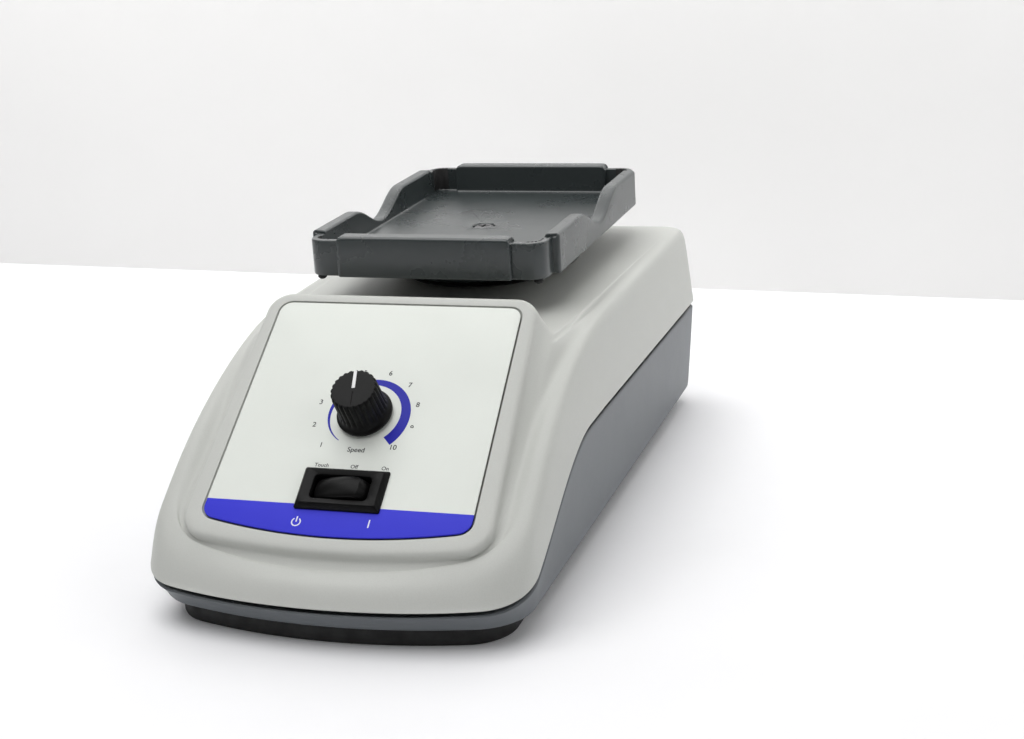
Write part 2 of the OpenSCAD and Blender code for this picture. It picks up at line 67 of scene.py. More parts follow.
# ---------------------------------------------------------------- driving dimensions, from the frame
cover_hi = box_mm("upper_cover")[1]
front_foot_hi = box_mm("front_foot")[1]
tray_lo, tray_hi = box_mm("microplate_tray")
inlet_lo, inlet_hi = box_mm("power_inlet")
rear_foot_lo, rear_foot_hi = box_mm("rear_feet")

HALF_W = cover_hi.x
HALF_LEN = cover_hi.y
MOTOR_Y = joints["motor_spin"]["pos_m"][1] / MM
HEAD_Y = joints["head_orbit"]["pos_m"][1] / MM
DIAL = Vector(joints["speed_dial"]["pos_m"]) / MM
NORMAL = Vector(joints["speed_dial"]["axis"])
TILT = math.atan2(-NORMAL.y, NORMAL.z)
DECK_Z = 78.0  # flat top under the tray
DIAL_S = 36.4  # how far the dial stands up the slope from the band's upper edge
SWITCH_S = 6.0  # and the switch
ROCKER_H = -4.6  # rocker's pivot, below the panel
POINTER_TURN = 9  # degrees that the knob's pointer stands to the left
PANEL_Y = DIAL.y - DIAL_S * math.cos(TILT)
PANEL_Z = DIAL.z - DIAL_S * math.sin(TILT)
FLOOR_Z = front_foot_hi.z  # underside of the base
JOINT_GAP = 1.6  # dark groove between cover and base
LIP = JOINT_GAP / 2  # each shell's distance from the joint line
WALL = 2.6
LABEL_T = 0.6
PANEL_BACK = -LABEL_T - WALL
SCREW_HOLES = ((54, 119), (40, -94))  # (x, y) in the base's underside, on both sides


# ---------------------------------------------------------------- small mathematics
def clamp01(t):
    return max(0.0, min(1.0, t))


def ease(t):
    t = clamp01(t)
    return t * t * (3 - 2 * t)


def smooth_min(a, b, k):
    h = clamp01(0.5 + 0.5 * (b - a) / k)
    return b + (a - b) * h - k * h * (1 - h)


def smooth_max(a, b, k):
    return -smooth_min(-a, -b, k)


def on_panel(points):
    """Points (u, s, h) of the panel frame, in the part's frame."""
    p = np.asarray(points, float)
    c, s = math.cos(TILT), math.sin(TILT)
    return np.stack([p[:, 0], PANEL_Y + p[:, 1] * c - p[:, 2] * s, PANEL_Z + p[:, 1] * s + p[:, 2] * c], 1)


# ---------------------------------------------------------------- meshes
def sharp_by_angle(mesh, degrees):
    """Smooth shading, with edges sharper than that angle left crisp."""
    mesh.shade_smooth()
    bm = bmesh.new()
    bm.from_mesh(mesh)
    limit = math.radians(degrees)
    for edge in bm.edges:
        edge.smooth = len(edge.link_faces) == 2 and edge.calc_face_angle(0) < limit
    bm.to_mesh(mesh)
    bm.free()


def add_piece(name, points, faces, slot, body="housing", stands_for=(), crease=38, cuts=(), finish=None):
    """A mesh from points in millimetres, with holes cut by other meshes, that rides on a body."""
    mesh = bpy.data.meshes.new(name)
    mesh.from_pydata([tuple(float(c) * MM for c in p) for p in points], [], [tuple(f) for f in faces])
    bm = bmesh.new()
    bm.from_mesh(mesh)
    bmesh.ops.remove_doubles(bm, verts=bm.verts, dist=0.002 * MM)
    bmesh.ops.recalc_face_normals(bm, faces=bm.faces)
    bm.to_mesh(mesh)
    bm.free()
    obj = bpy.data.objects.new(name, mesh)
    scene.collection.objects.link(obj)
    for cutter in cuts:
        cut_away(obj, cutter)
    sharp_by_angle(obj.data, crease)
    obj.data.materials.clear()
    obj.data.materials.append(finish or MATERIALS[slot])
    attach(obj, body)
    if stands_for:
        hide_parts(*stands_for)
    return obj


def cut_away(obj, cutter):
    """Cuts a (points, faces) mesh out of obj."""
    points, faces = cutter
    mesh = bpy.data.meshes.new("cutter")
    mesh.from_pydata([tuple(float(c) * MM for c in p) for p in points], [], [tuple(f) for f in faces])
    bm = bmesh.new()
    bm.from_mesh(mesh)
    bmesh.ops.recalc_face_normals(bm, faces=bm.faces)
    bm.to_mesh(mesh)
    bm.free()
    tool = bpy.data.objects.new("cutter", mesh)
    scene.collection.objects.link(tool)
    modifier = obj.modifiers.new("cut", "BOOLEAN")
    modifier.operation = "DIFFERENCE"
    modifier.solver = "EXACT"
    modifier.object = tool
    bpy.context.view_layer.update()
    result = bpy.data.meshes.new_from_object(obj.evaluated_get(bpy.context.evaluated_depsgraph_get()))
    obj.modifiers.clear()
    obj.data = result
    bpy.data.objects.remove(tool)


def loft(rings, ends="caps"):
    """(points, faces) of rings of equal length joined in turn; ends are caps, or loop back to the first."""
    rings = np.asarray(rings, float)
    count, n = rings.shape[:2]
    spans = count if ends == "loop" else count - 1
    faces = []
    for k in range(spans):
        a, b = k * n, ((k + 1) % count) * n
        for j in range(n):
            i = (j + 1) % n
            faces.append((a + j, a + i, b + i, b + j))
    if ends == "caps":
        faces.append(tuple(range(n - 1, -1, -1)))
        faces.append(tuple((count - 1) * n + j for j in range(n)))
    return rings.reshape(-1, 3), faces


def join(*meshes):
    """Several (points, faces) as one."""
    points, faces = [], []
    for p, f in meshes:
        start = len(points)
        points.extend(list(p))
        faces.extend(tuple(i + start for i in face) for face in f)
    return points, faces


def spline_rings(controls, steps=5):
    """Rings on a cubic B-spline of control rings. A control that is (ring, times) holds the surface closer."""
    rings = []
    for control in controls:
        ring, times = control if isinstance(control, tuple) else (control, 1)
        rings += [np.asarray(ring, float)] * times
    rings = [rings[0]] * 2 + rings + [rings[-1]] * 2
    out = []
    for k in range(len(rings) - 3):
        for step in range(steps):
            t = step / steps
            weights = ((1 - t) ** 3, 3 * t ** 3 - 6 * t ** 2 + 4,
                       -3 * t ** 3 + 3 * t ** 2 + 3 * t + 1, t ** 3)
            ring = sum(w / 6 * rings[k + i] for i, w in enumerate(weights))
            if not out or np.abs(ring - out[-1]).max() > 0.004:
                out.append(ring)
    out.append(rings[-1])
    return out


def fillet(points, radius, steps=5):
    """An outline or section with its corners rounded; radius is one number or one for each point."""
    n = len(points)
    radii = radius if isinstance(radius, (list, tuple)) else [radius] * n
    out = []
    for i, p in enumerate(points):
        p = Vector(p)
        if radii[i] <= 0:
            out.append(tuple(p))
            continue
        to_last, to_next = Vector(points[i - 1]) - p, Vector(points[(i + 1) % n]) - p
        half = to_last.angle(to_next) / 2
        reach = min(radii[i] / math.tan(half), to_last.length * 0.49, to_next.length * 0.49)
        start, end = p + to_last.normalized() * reach, p + to_next.normalized() * reach
        for step in range(steps + 1):
            t = step / steps
            out.append(tuple(start * (1 - t) ** 2 + p * 2 * t * (1 - t) + end * t * t))
    return out


def revolve(section, centre=(0, 0), n=96, closed=True):
    """A section of (radius, z) turned about a vertical axis: closed, or a line from cap to cap."""
    angles = [math.tau * j / n for j in range(n)]
    rings = [[(centre[0] + r * math.cos(a), centre[1] + r * math.sin(a), z) for a in angles]
             for r, z in section]
    return loft(rings, "loop" if closed else "caps")


def rounded_rect(w, l, r, corner=6, edge=3):
    """A rounded rectangle about the origin, counter-clockwise, with the same count of points at any size."""
    out = []
    corners = ((1, -1, -90), (1, 1, 0), (-1, 1, 90), (-1, -1, 180))
    for x, y, start in corners:
        for step in range(corner + 1):
            a = math.radians(start + 90 * step / corner)
            out.append((x * (w / 2 - r) + r * math.cos(a), y * (l / 2 - r) + r * math.sin(a)))
        last, after = np.array(out[-1]), np.array(rounded_next(w, l, r, corners, x, y))
        out += [tuple(last + (after - last) * k / (edge + 1)) for k in range(1, edge + 1)]
    return out


def rounded_next(w, l, r, corners, x, y):
    """First point of the corner after (x, y)."""
    signs = [(c[0], c[1]) for c in corners]
    nx, ny, start = corners[(signs.index((x, y)) + 1) % 4]
    a = math.radians(start)
    return nx * (w / 2 - r) + r * math.cos(a), ny * (l / 2 - r) + r * math.sin(a)


def at_height(outline, z):
    return [(x, y, z) for x, y in outline]


def block(w, l, z0, z1, r, edge=0.4, steps=3):
    """A rounded rectangular block with rounded upper and lower edges, about the origin."""
    rings = []
    for step in range(steps + 1):
        a = math.pi / 2 * step / steps
        inset = edge * (1 - math.sin(a))
        rings.append(at_height(rounded_rect(w - 2 * inset, l - 2 * inset, max(r - inset, 0.05)),
                               z0 + edge * (1 - math.cos(a))))
    for step in range(steps + 1):
        a = math.pi / 2 * step / steps
        inset = edge * (1 - math.cos(a))
        rings.append(at_height(rounded_rect(w - 2 * inset, l - 2 * inset, max(r - inset, 0.05)),
                               z1 - edge * (1 - math.sin(a))))
    return loft(rings)


def moved(mesh, offset):
    points, faces = mesh
    return np.asarray(points, float) + np.asarray(offset, float), faces


def lifted(mesh):
    """A mesh given in (u, s, h), moved on to the control panel."""
    return on_panel(mesh[0]), mesh[1]


def cylinder(x, y, z0, z1, r, n=48):
    return revolve([(r, z0), (r, z1)], (x, y), n, closed=False)


# ---------------------------------------------------------------- materials
class Nodes:
    """A material's node tree, with short ways to add and link nodes."""

    def __init__(self, name):
        self.material = bpy.data.materials.new(name)
        self.material.use_nodes = True
        self.tree = self.material.node_tree
        self.shader = self.tree.nodes["Principled BSDF"]
        self.coordinates = self.add("ShaderNodeTexCoord").outputs["Object"]

    def add(self, kind, **values):
        node = self.tree.nodes.new(kind)
        for key, value in values.items():
            setattr(node, key, value)
        return node

    def link(self, output, socket):
        self.tree.links.new(output, socket)

    def scaled(self, x, y, z):
        mapping = self.add("ShaderNodeMapping")
        mapping.inputs["Scale"].default_value = (x, y, z)
        self.link(self.coordinates, mapping.inputs["Vector"])
        return mapping.outputs["Vector"]

    def noise(self, size_mm, detail=3.0, roughness=0.5, vector=None):
        """Noise whose grains are about that many millimetres across."""
        node = self.add("ShaderNodeTexNoise")
        node.inputs["Scale"].default_value = 1 / (size_mm * MM)
        node.inputs["Detail"].default_value = detail
        node.inputs["Roughness"].default_value = roughness
        self.link(vector or self.coordinates, node.inputs["Vector"])
        return node.outputs["Fac"]

    def ramp(self, value, low, high, start=0.35, end=0.65):
        """Maps a value from start..end to low..high."""
        node = self.add("ShaderNodeMapRange")
        node.inputs["From Min"].default_value = start
        node.inputs["From Max"].default_value = end
        node.inputs["To Min"].default_value = low
        node.inputs["To Max"].default_value = high
        self.link(value, node.inputs["Value"])
        return node.outputs["Result"]

    def mix(self, factor, a, b):
        """A colour between a and b; each is a colour or an output."""
        node = self.add("ShaderNodeMix", data_type="RGBA")
        for socket, value in ((node.inputs[0], factor), (node.inputs[6], a), (node.inputs[7], b)):
            if isinstance(value, bpy.types.NodeSocket):
                self.link(value, socket)
            else:
                socket.default_value = (*value, 1)
        return node.outputs[2]

    def bump(self, height, depth_mm, strength=1.0, below=None):
        node = self.add("ShaderNodeBump")
        node.inputs["Distance"].default_value = depth_mm * MM
        node.inputs["Strength"].default_value = strength
        self.link(height, node.inputs["Height"])
        if below is not None:
            self.link(below, node.inputs["Normal"])
        return node.outputs["Normal"]

    def edge_wear(self, low=0.505, high=0.56):
        """Near 1 on outward edges and near 0 elsewhere."""
        geometry = self.add("ShaderNodeNewGeometry")
        return self.ramp(geometry.outputs["Pointiness"], 0.0, 1.0, low, high)


def shade(colour, factor):
    return tuple(min(1.0, c * factor) for c in colour)


def plastic(name, colour, roughness, grain_mm, depth_mm, variation=0.05, wear=0.12, gloss=0.5):
    """Moulded plastic: a fine sparked texture, slight flow marks and handling sheen, and paler worn edges."""
    n = Nodes(name)
    flow = n.noise(45, 3, 0.55)
    speck = n.noise(grain_mm * 0.6, 2)
    body = n.mix(n.ramp(flow, 0, 1, 0.3, 0.7), shade(colour, 1 - variation), shade(colour, 1 + variation))
    body = n.mix(n.ramp(speck, 0, 0.35, 0.4, 0.7), body, shade(colour, 0.9))
    worn = n.mix(n.ramp(n.edge_wear(), 0, wear, 0, 1), body, shade(colour, 1.35))
    n.link(worn, n.shader.inputs["Base Color"])
    handling = n.noise(22, 4, 0.6)
    n.link(n.ramp(handling, roughness - 0.03, roughness + 0.03, 0.25, 0.75), n.shader.inputs["Roughness"])
    n.shader.inputs["Specular IOR Level"].default_value = gloss
    texture = n.bump(n.noise(grain_mm, 3, 0.6), depth_mm, 0.6)
    n.link(n.bump(n.noise(30, 2), 0.12, 0.25, below=texture), n.shader.inputs["Normal"])
    return n.material


def printed_film(name, colour, roughness=0.32, variation=0.02):
    """Printed polyester overlay: very even, with a faint satin embossing."""
    n = Nodes(name)
    cloud = n.noise(35, 3)
    fibre = n.noise(0.35, 2)
    body = n.mix(n.ramp(cloud, 0, 1, 0.3, 0.7), shade(colour, 1 - variation), shade(colour, 1 + variation))
    n.link(n.mix(n.ramp(fibre, 0, 0.25), body, shade(colour, 0.94)), n.shader.inputs["Base Color"])
    n.link(n.ramp(n.noise(14, 2), roughness - 0.015, roughness + 0.015, 0.2, 0.8), n.shader.inputs["Roughness"])
    n.shader.inputs["Specular IOR Level"].default_value = 0.25
    n.link(n.bump(n.noise(0.5, 2), 0.012, 0.5), n.shader.inputs["Normal"])
    return n.material


def rubber(name, colour):
    """Moulded rubber: dull, with a faint bloom and a fine pebble."""
    n = Nodes(name)
    bloom = n.noise(9, 4, 0.65)
    body = n.mix(n.ramp(bloom, 0, 0.6, 0.45, 0.75), colour, shade(colour, 1.9))
    n.link(body, n.shader.inputs["Base Color"])
    n.link(n.ramp(n.noise(5, 3), 0.62, 0.82), n.shader.inputs["Roughness"])
    n.link(n.bump(n.noise(0.45, 3), 0.04, 0.7), n.shader.inputs["Normal"])
    return n.material


def metal(name, colour, roughness=0.3, lines=(1, 1, 12), depth_mm=0.01):
    """Turned or ground metal: fine lines across the given axis, with slight tarnish."""
    n = Nodes(name)
    n.shader.inputs["Metallic"].default_value = 1.0
    grain = n.noise(0.9, 3, 0.6, vector=n.scaled(*lines))
    tarnish = n.noise(6, 4, 0.6)
    body = n.mix(n.ramp(tarnish, 0, 1), shade(colour, 0.86), colour)
    n.link(n.mix(n.ramp(grain, 0, 0.3), body, shade(colour, 0.8)), n.shader.inputs["Base Color"])
    n.link(n.ramp(grain, roughness - 0.07, roughness + 0.1), n.shader.inputs["Roughness"])
    n.link(n.bump(grain, depth_mm, 0.6), n.shader.inputs["Normal"])
    return n.material


def painted_cast(name, colour):
    """Painted casting: orange peel over a coarse sand texture."""
    n = Nodes(name)
    sand = n.noise(1.4, 5, 0.65)
    n.link(n.mix(n.ramp(sand, 0, 1), shade(colour, 0.85), shade(colour, 1.1)), n.shader.inputs["Base Color"])
    n.link(n.ramp(sand, 0.4, 0.6), n.shader.inputs["Roughness"])
    n.link(n.bump(sand, 0.15, 0.5), n.shader.inputs["Normal"])
    return n.material


MATERIALS = {
    "cover": plastic("cover_plastic", (0.565, 0.575, 0.545), 0.5, 0.75, 0.035, 0.025, 0.1, 0.4),
    "base": plastic("base_plastic", (0.142, 0.155, 0.167), 0.44, 0.75, 0.04, 0.05, 0.15, 0.4),
    "label": printed_film("label_film", (0.80, 0.83, 0.78), 0.45),
    "black_plastic": plastic("black_plastic", (0.004, 0.004, 0.004), 0.36, 0.5, 0.02, 0.15, 0.6, 0.12),
    "white_plastic": plastic("white_inlay", (0.80, 0.80, 0.80), 0.4, 0.4, 0.01, 0.03, 0.05),
    "dark_plastic": plastic("dark_component", (0.045, 0.05, 0.06), 0.45, 0.5, 0.02),
    "red_plastic": plastic("plunger_plastic", (0.55, 0.07, 0.04), 0.4, 0.5, 0.02),
    "board": plastic("board_laminate", (0.02, 0.16, 0.07), 0.3, 1.2, 0.01, 0.12),
    "tray": plastic("tray_plastic", (0.034, 0.042, 0.043), 0.28, 0.6, 0.012, 0.05, 0.4, 0.75),
    "rubber": rubber("black_rubber", (0.012, 0.012, 0.012)),
    "steel": metal("turned_steel", (0.62, 0.62, 0.63), 0.28),
    "bearing_steel": metal("ground_steel", (0.68, 0.68, 0.70), 0.2, (1, 1, 20)),
    "rotor_steel": metal("lamination_steel", (0.42, 0.34, 0.28), 0.42, (1, 1, 30), 0.03),
    "hub_steel": metal("machined_steel", (0.55, 0.56, 0.58), 0.32, (1, 1, 14)),
    "motor_steel": metal("plated_can", (0.50, 0.50, 0.49), 0.4, (4, 4, 1)),
    "aluminium": metal("pressed_aluminium", (0.66, 0.67, 0.69), 0.38, (12, 1, 1)),
    "contact": metal("plated_contact", (0.72, 0.66, 0.46), 0.25, (1, 10, 1)),
    "cast_metal": painted_cast("painted_ballast", (0.11, 0.11, 0.12)),
}
BAND_BLUE = printed_film("band_ink", (0.034, 0.036, 0.68), 0.5, 0.03)
DIAL_BLUE = printed_film("dial_ink", (0.012, 0.014, 0.40), 0.5, 0.03)
GREY_INK = printed_film("numeral_ink", (0.03, 0.03, 0.035), 0.5, 0.05)
WHITE_INK = printed_film("symbol_ink", (0.80, 0.80, 0.92), 0.4, 0.02)


# ---------------------------------------------------------------- camera, as the object is seen
def make_camera():
    azimuth, elevation, roll = math.radians(18.52), math.radians(17.16), math.radians(-3.445)
    right = Vector((math.cos(azimuth), math.sin(azimuth), 0))
    back = Vector((math.sin(azimuth) * math.cos(elevation), -math.cos(azimuth) * math.cos(elevation),
                   math.sin(elevation)))
    up = back.cross(right)
    tilted_right = right * math.cos(roll) + up * math.sin(roll)
    tilted_up = up * math.cos(roll) - right * math.sin(roll)
    camera = bpy.data.objects.new("camera", bpy.data.cameras.new("camera"))
    scene.collection.objects.link(camera)
    camera.matrix_world = Matrix.LocRotScale(
        Vector((224.2, -596.1, 246.8)) * MM,
        Matrix((tilted_right, tilted_up, back)).transposed(),
        None,
    )
    camera.data.lens = 61.78
    camera.data.sensor_width = 36
    camera.data.shift_x = 0.0046
    camera.data.clip_start, camera.data.clip_end = 0.02, 20
    scene.camera = camera


make_camera()


# ---------------------------------------------------------------- housing
STATIONS = dict(front=18, corner=16, side=46, split=26, rear_corner=14, rear=12)


def half_outline(wf, wr, front, rear, rf, rr, bow, split):
    """Right half of an outline seen from above: bowed front edge, corner, side, rear corner and rear edge."""
    a = math.atan(2 * bow / (wf - rf))
    xb = wf - rf * (1 - math.sin(a))
    cy = front + bow + rf * math.cos(a)
    y_end = rear - rr

    def width(y):
        return wf + (wr - wf) * (y - cy) / (y_end - cy)

    def turn(count, start, end):
        return [math.radians(start + (end - start) * i / count) for i in range(count)]

    n = STATIONS
    points = [(xb * i / n["front"], front + bow * (i / n["front"]) ** 2) for i in range(n["front"])]
    points += [(wf - rf + rf * math.cos(t), cy + rf * math.sin(t))
               for t in turn(n["corner"], math.degrees(a) - 90, 0)]
    points += [(width(y), y) for y in np.linspace(cy, split, n["side"], endpoint=False)]
    points += [(width(y), y) for y in np.linspace(split, y_end, n["split"], endpoint=False)]
    points += [(wr - rr + rr * math.cos(t), y_end + rr * math.sin(t)) for t in turn(n["rear_corner"], 0, 90)]
    points += [((wr - rr) * (1 - i / n["rear"]), rear) for i in range(n["rear"] + 1)]
    return points


def full_ring(half):
    return half + [(-x, y) for x, y in half[-2:0:-1]]


def plane_z(y):
    return PANEL_Z + (y - PANEL_Y) * math.tan(TILT)


def joint_z(y):
    return 13.5 + 33 * ease((y + HALF_LEN) / 93) - 2.5 * clamp01((y + 20) / 155)


def ridge_z(y):
    return smooth_min(smooth_max(plane_z(y) - 4, 22, 3), DECK_Z, 35)


def hollow_z(y):
    return smooth_min(plane_z(y) - 5.2 - 3 * ease((y + 110) / 50), DECK_Z, 6)


def crest_lean(y):
    """How much further in the crest stands on the tall rear part than at the nose."""
    return -0.6 + 1.4 * ease((y + 100) / 60)


def body_ring(inset, nose_inset, z_of, drop=0.0, lean=0.0):
    """Plan ring of the housing, drawn in from the joint line, at a height that follows y."""
    outline = full_ring(half_outline(HALF_W - 0.5 - inset, HALF_W - inset, -HALF_LEN + nose_inset,
                                     HALF_LEN - inset, 19, 6.5, 7, -33))
    return [(x * (1 - lean * crest_lean(y) / HALF_W), y, z_of(y) - drop) for x, y in outline]


def level(z):
    return lambda y: z


def pad_ring(out, h):
    outline = full_ring(half_outline(53.6 + out, 50 + out, -17 - out, 88 + out, 10 + out, 8 + out, 3.5, 76))
    return on_panel(at_height(outline, h))


def hollow_ring(out, drop=0.0):
    outline = full_ring(half_outline(57 + out, 55.5 + out, -123.6 - out, -31.5 + out, 13, 8, 4.5, -44))
    return [(x, y, hollow_z(y) - drop) for x, y in outline]


def label_outline(out):
    return full_ring(half_outline(47.2 + out, 45.3 + out, -11.8 - out, 84 + out, 5 + out, 4.5 + out, 4.3, 72))


def label_ring(out, h):
    return on_panel(at_height(label_outline(out), h))


def on_inlet(mesh, x=0.0):
    """A mesh whose z points out of the rear face, moved on to the inlet, x from its middle."""
    p = np.asarray(mesh[0], float)
    mid_x, mid_z = (inlet_lo.x + inlet_hi.x) / 2, (inlet_lo.z + inlet_hi.z) / 2
    return np.stack([p[:, 0] + x + mid_x, inlet_hi.y + p[:, 2], p[:, 1] + mid_z], 1), mesh[1]


def make_cover():
    outside = spline_rings([
        (body_ring(0.5, 0.5, joint_z, -LIP), 3),
        (body_ring(0.05, 0.05, joint_z, -LIP - 0.45), 2),
        body_ring(0.9, 0.4, lambda y: (joint_z(y) + ridge_z(y) - 6) / 2 + 0.5, 0, 0.5),
        body_ring(1.8, 0.8, ridge_z, 6, 1),
        body_ring(2.4, 2.6, ridge_z, 2.8, 1),
        body_ring(3.6, 4.8, ridge_z, 0.5, 1),
        body_ring(5.4, 7.2, ridge_z, -0.1, 1),
        body_ring(8, 9.7, ridge_z, -0.2, 1),
        hollow_ring(0.6), hollow_ring(-1.0, -0.6),
        pad_ring(1.0, -3.4), pad_ring(0.7, -1.6), pad_ring(0.1, -0.3), pad_ring(-1.8, 0),
        (label_ring(0.8, 0), 1), (label_ring(0.5, -0.12), 2), (label_ring(0.5, -LABEL_T), 3),
    ])
    inside = [
        label_ring(-2, PANEL_BACK), pad_ring(-3.2, PANEL_BACK - 0.4), hollow_ring(-2.4, WALL),
        body_ring(6.8, 8.6, ridge_z, WALL, 1), body_ring(WALL + 1.8, 5, ridge_z, 6, 1),
        body_ring(WALL, 2.4, joint_z, -LIP),
    ]
    points, faces = loft(outside[::-1] + inside[::-1], "loop")
    dial_hole = lifted(cylinder(0, DIAL_S, -9, 6, 4.9))
    switch_hole = lifted(moved(block(27.4, 13.2, -9, 6, 0.5), (0, SWITCH_S, 0)))
    boot_hole = cylinder(0, MOTOR_Y, DECK_Z - 9, DECK_Z + 9, 27, 96)
    add_piece("cover_shell", points, faces, "cover", stands_for=["upper_cover"],
              cuts=[dial_hole, switch_hole, boot_hole])


def make_base():
    outside = spline_rings([
        (body_ring(5.4, 7.0, level(FLOOR_Z)), 3),
        body_ring(4.0, 5.4, level(FLOOR_Z)),
        body_ring(3.1, 4.2, level(FLOOR_Z + 1.1)),
        body_ring(2.8, 3.6, level(FLOOR_Z + 2.8)),
        body_ring(1.5, 2.0, lambda y: (FLOOR_Z + 2.8 + joint_z(y) - LIP) / 2),
        (body_ring(0.4, 0.6, joint_z, LIP + 0.45), 2),
        (body_ring(0.9, 1.1, joint_z, LIP), 3),
    ])
    inside = [
        body_ring(1.5, 1.7, joint_z, LIP + 0.2), body_ring(1.7, 1.9, joint_z, LIP + 1.8),
        body_ring(4.9, 6.1, joint_z, LIP + 1.8), body_ring(5.0, 6.2, joint_z, -2.2),
        body_ring(7.5, 8.7, joint_z, -2.2), body_ring(7.5, 8.7, joint_z, 2.8),
        body_ring(5.6, 7.4, joint_z, 4.4), body_ring(6.8, 8.4, level(FLOOR_Z + WALL)),
    ]
    points, faces = loft(outside + inside)
    socket = block(29, 21.4, -20, 20, 0.5)
    pocket = block(inlet_hi.x - inlet_lo.x + 0.5, inlet_hi.z - inlet_lo.z + 0.5, -2.4, 5, 4, 0.05)
    cuts = [on_inlet(socket), on_inlet(pocket)]
    for x, y in SCREW_HOLES:
        cuts += [cylinder(side * x, y, FLOOR_Z - 2, FLOOR_Z + 4.4, 4) for side in (-1, 1)]
    add_piece("base_shell", points, faces, "base", stands_for=["lower_base"], cuts=cuts)


# ---------------------------------------------------------------- label and its printing
def make_label():
    """The overlay with its blue band: one thin plate, split where the band's upper edge runs."""
    rings = [label_ring(-0.4, -LABEL_T), label_ring(-0.25, -LABEL_T + 0.1), label_ring(-0.25, -0.12),
             label_ring(-0.3, -0.03), label_ring(-0.4, 0)]
    points, faces = loft(rings)
    dial_hole = lifted(cylinder(0, DIAL_S, -3, 3, 5))
    switch_hole = lifted(moved(block(27.8, 13.6, -3, 3, 0.4, 0.05), (0, SWITCH_S, 0)))
    obj = add_piece("label_overlay", points, faces, "label", stands_for=["front_label"], crease=50,
                    cuts=[dial_hole, switch_hole])
    bm = bmesh.new()
    bm.from_mesh(obj.data)
    origin = Vector(on_panel([(0, 0, 0)])[0]) * MM
    upward = Vector((0, math.cos(TILT), math.sin(TILT)))
    everything = bm.verts[:] + bm.edges[:] + bm.faces[:]
    bmesh.ops.bisect_plane(bm, geom=everything, plane_co=origin, plane_no=upward)
    for face in bm.faces:
        face.material_index = int((face.calc_center_median() - origin).dot(upward) < 0)
    bm.to_mesh(obj.data)
    bm.free()
    obj.data.materials.append(BAND_BLUE)


INK_H = 0.035  # how high the printing stands on the label
NUMERAL_R = 18.1  # from the dial's middle to its numbers


def printed(name, outlines, ink):
    """Flat printed shapes on the label, each an outline of (u, s)."""
    points, faces = [], []
    for outline in outlines:
        start = len(points)
        points += [(u, s, INK_H) for u, s in outline]
        faces.append(tuple(range(start, start + len(outline))))
    mesh = bpy.data.meshes.new(name)
    mesh.from_pydata([tuple(p * MM) for p in on_panel(points)], [], faces)
    place_print(bpy.data.objects.new(name, mesh), ink)


def place_print(obj, ink):
    scene.collection.objects.link(obj)
    obj.data.materials.append(ink)
    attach(obj, "housing")


def strip(inner, outer):
    """Quads between two lines of points."""
    return [(inner[i], inner[i + 1], outer[i + 1], outer[i]) for i in range(len(inner) - 1)]


def arc(radius, start, end, steps, centre=(0, 0)):
    """Points along an arc; radius is a number or a function of the share from start to end."""
    out = []
    for i in range(steps + 1):
        t = i / steps
        a = math.radians(start + (end - start) * t)
        r = radius(t) if callable(radius) else radius
        out.append((centre[0] + r * math.cos(a), centre[1] + r * math.sin(a)))
    return out


def printed_text(name, text, u, s, cap_height, ink):
    curve = bpy.data.curves.new(name, "FONT")
    curve.body = text
    curve.size = cap_height / 0.7
    curve.align_x, curve.align_y = "CENTER", "CENTER"
    curve.offset = 0.015 * cap_height
    source = bpy.data.objects.new(name, curve)
    scene.collection.objects.link(source)
    bpy.context.view_layer.update()
    mesh = bpy.data.meshes.new_from_object(source.evaluated_get(bpy.context.evaluated_depsgraph_get()))
    bpy.data.objects.remove(source)
    flat = [(v.co.x + u, v.co.y + s, INK_H) for v in mesh.vertices]
    for vertex, point in zip(mesh.vertices, on_panel(flat)):
        vertex.co = Vector(point) * MM
    place_print(bpy.data.objects.new(name, mesh), ink)


def make_printing():
    centre = (0, DIAL_S)
    start, end = 237.5, -45
    printed("speed_crescent", strip(arc(lambda t: 12.65 - 0.35 * t, start, end, 90, centre),
                                    arc(lambda t: 12.9 + 3.5 * t, start, end, 90, centre)), DIAL_BLUE)
    for number in range(1, 11):
        a = math.radians(226 - 30 * (number - 1))
        u, s = NUMERAL_R * math.cos(a), DIAL_S + NUMERAL_R * math.sin(a)
        printed_text(f"numeral_{number}", str(number), u, s, 1.9, GREY_INK)
    printed_text("word_speed", "Speed", 0.4, 22.1, 1.8, GREY_INK)
    for text, u in (("Touch", -10.0), ("Off", 1.6), ("On", 12.6)):
        printed_text(f"word_{text.lower()}", text, u, 15.4, 1.4, GREY_INK)
    x, s = power = (-12.6, -6.9)
    printed("power_ring", strip(arc(1.25, 125, 415, 32, power), arc(1.7, 125, 415, 32, power)), WHITE_INK)
    half = 0.24
    printed("power_bars", [[(u - half, s0), (u + half, s0), (u + half, s1), (u - half, s1)]
                           for u, s0, s1 in ((x, s, s + 2.1), (-x, -7.4, -4.4))], WHITE_INK)


